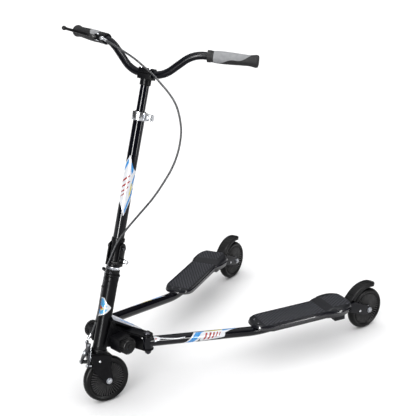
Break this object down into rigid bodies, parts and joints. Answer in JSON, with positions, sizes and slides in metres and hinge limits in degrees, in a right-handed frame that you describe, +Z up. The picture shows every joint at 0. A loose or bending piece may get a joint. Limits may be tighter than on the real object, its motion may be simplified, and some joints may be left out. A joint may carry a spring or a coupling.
{
  "type": "three-wheel kick scooter",
  "caption": "Swing-leg kick scooter with a steered front wheel, two hinged legs with foot decks and rear wheels, a folding telescopic column, and a hand brake.",
  "frame": {"origin": "on the floor, under the middle of the whole scooter", "axes": "+Z up, the scooter faces -Y, +X is the rider's left"},
  "size_m": [0.595, 0.9048, 0.9246],
  "materials": {
    "paint": "gloss black",
    "alloy": "polished",
    "steel": "zinc plated",
    "black_plastic": "satin",
    "deck_plastic": "textured",
    "tyre_pu": "smooth",
    "hub_plastic": "satin",
    "grip_rubber": "soft",
    "cable_skin": "satin"
  },
  "bodies": {
    "frame": {"frame_weldment": "paint", "headset_cup_lower": "paint", "headset_cup_upper": "paint", "leg_pivot_bolt_left": "steel", "leg_pivot_bolt_right": "steel"},
    "knob_left": {"leg_knob_left": "black_plastic"},
    "knob_right": {"leg_knob_right": "black_plastic"},
    "fork": {"fork": "paint", "steering_clamp_ring": "black_plastic", "headset_locknut": "alloy", "calliper_bolt": "steel", "front_axle_bolt": "alloy", "cable_at_fork": "cable_skin"},
    "front_wheel": {"front_tyre": "tyre_pu", "front_hub": "hub_plastic", "front_bearings": "steel"},
    "calliper_left": {"calliper_arm_left": "alloy", "brake_pad_left": "black_plastic"},
    "calliper_right": {"calliper_arm_right": "alloy", "brake_pad_right": "black_plastic"},
    "fold_base": {"fold_socket": "paint", "fold_pivot_bolt": "steel", "pull_pin_spring": "steel"},
    "pull_pin": {"pull_pin": "alloy"},
    "column": {"column_shoe": "paint", "column_tube": "paint", "clamp_collar": "alloy", "clamp_bolt": "steel", "telescope_sleeve": "black_plastic", "cable_at_fold": "cable_skin", "cable_loop": "cable_skin"},
    "clamp_lever": {"clamp_lever": "alloy"},
    "handlebar": {"inner_tube": "paint", "stem": "paint", "stem_cap": "paint", "handlebar": "paint", "grip_left": "grip_rubber", "grip_right": "grip_rubber", "brake_lever_bracket": "black_plastic", "brake_lever_pin": "steel", "barrel_adjuster": "alloy", "cable_at_bar": "cable_skin"},
    "brake_lever": {"brake_lever": "black_plastic"},
    "leg_left": {"leg_left": "paint", "deck_left": "deck_plastic", "deck_screws_left": "steel", "rear_mudguard_left": "black_plastic", "rear_left_axle_bolt": "alloy"},
    "leg_right": {"leg_right": "paint", "deck_right": "deck_plastic", "deck_screws_right": "steel", "rear_mudguard_right": "black_plastic", "rear_right_axle_bolt": "alloy"},
    "rear_wheel_left": {"rear_left_tyre": "tyre_pu", "rear_left_hub": "hub_plastic", "rear_left_bearings": "steel"},
    "rear_wheel_right": {"rear_right_tyre": "tyre_pu", "rear_right_hub": "hub_plastic", "rear_right_bearings": "steel"}
  },
  "joints": [
    {"name": "steering", "type": "hinge", "parent": "frame", "child": "fork", "pos_m": [-0.00028, -0.4261, 0.062], "axis": [0, 0.2874, 0.9578], "range_deg": [-19, 51]},
    {"name": "front_wheel_spin", "type": "hinge", "parent": "fork", "child": "front_wheel", "pos_m": [0.00897, -0.39235, 0.06237], "axis": [0.9613, -0.264, 0.0792], "continuous": true},
    {"name": "calliper_left_close", "type": "hinge", "parent": "fork", "child": "calliper_left", "pos_m": [-0.00992, -0.43577, 0.14686], "axis": [0.2756, 0.9207, -0.2762], "range_deg": [0, 3]},
    {"name": "calliper_right_close", "type": "hinge", "parent": "fork", "child": "calliper_right", "pos_m": [-0.00992, -0.43577, 0.14686], "axis": [-0.2756, -0.9207, 0.2762], "range_deg": [0, 3]},
    {"name": "bar_alignment", "type": "hinge", "parent": "fork", "child": "fold_base", "pos_m": [-0.00028, -0.32265, 0.40682], "axis": [0, 0.2874, 0.9578], "range_deg": [-34, 15], "deforming": ["cable_at_fork"]},
    {"name": "pull_pin_slide", "type": "slide", "parent": "fold_base", "child": "pull_pin", "axis": [0.9613, 0.264, -0.0792], "range_m": [0, 0.008], "stiffness_N_per_m": 800, "springref_m": -0.003},
    {"name": "fold", "type": "hinge", "parent": "fold_base", "child": "column", "pos_m": [-0.00028, -0.32265, 0.40682], "axis": [-0.9613, -0.264, 0.0792], "range_deg": [0, 90], "deforming": ["cable_at_fold"]},
    {"name": "clamp_lever_turn", "type": "hinge", "parent": "column", "child": "clamp_lever", "pos_m": [0.02182, -0.20651, 0.7212], "axis": [0, -0.2874, -0.9578], "range_deg": [0, 120]},
    {"name": "bar_height", "type": "slide", "parent": "column", "child": "handlebar", "axis": [0, 0.2874, 0.9578], "range_m": [-0.062, 0.05], "deforming": ["cable_at_bar"]},
    {"name": "brake_lever_pull", "type": "hinge", "parent": "handlebar", "child": "brake_lever", "pos_m": [-0.14232, -0.23024, 0.90829], "axis": [0.0696, 0.282, 0.9569], "range_deg": [0, 10], "stiffness_Nm_per_rad": 2, "springref_deg": -6.88},
    {"name": "leg_left_swing", "type": "hinge", "parent": "frame", "child": "leg_left", "pos_m": [0.08472, -0.3091, 0.163], "axis": [0, 0, 1], "range_deg": [-8, 10]},
    {"name": "leg_right_swing", "type": "hinge", "parent": "frame", "child": "leg_right", "pos_m": [-0.08528, -0.3091, 0.163], "axis": [0, 0, -1], "range_deg": [-8, 10]},
    {"name": "rear_wheel_left_spin", "type": "hinge", "parent": "leg_left", "child": "rear_wheel_left", "pos_m": [0.26972, 0.3909, 0.0625], "axis": [0.9848, -0.1736, 0], "continuous": true},
    {"name": "rear_wheel_right_spin", "type": "hinge", "parent": "leg_right", "child": "rear_wheel_right", "pos_m": [-0.27028, 0.3909, 0.0625], "axis": [0.9848, 0.1736, 0], "continuous": true},
    {"name": "knob_left_turn", "type": "hinge", "parent": "frame", "child": "knob_left", "pos_m": [0.07172, -0.3641, 0.168], "axis": [1, 0, 0], "range_deg": [-90, 90]},
    {"name": "knob_right_turn", "type": "hinge", "parent": "frame", "child": "knob_right", "pos_m": [-0.07228, -0.3641, 0.168], "axis": [1, 0, 0], "range_deg": [-90, 90]}
  ],
  "couplings": [
    {"joint": "calliper_left_close", "follows": "brake_lever_pull", "ratio": 0.3},
    {"joint": "calliper_right_close", "follows": "brake_lever_pull", "ratio": 0.3}
  ]
}
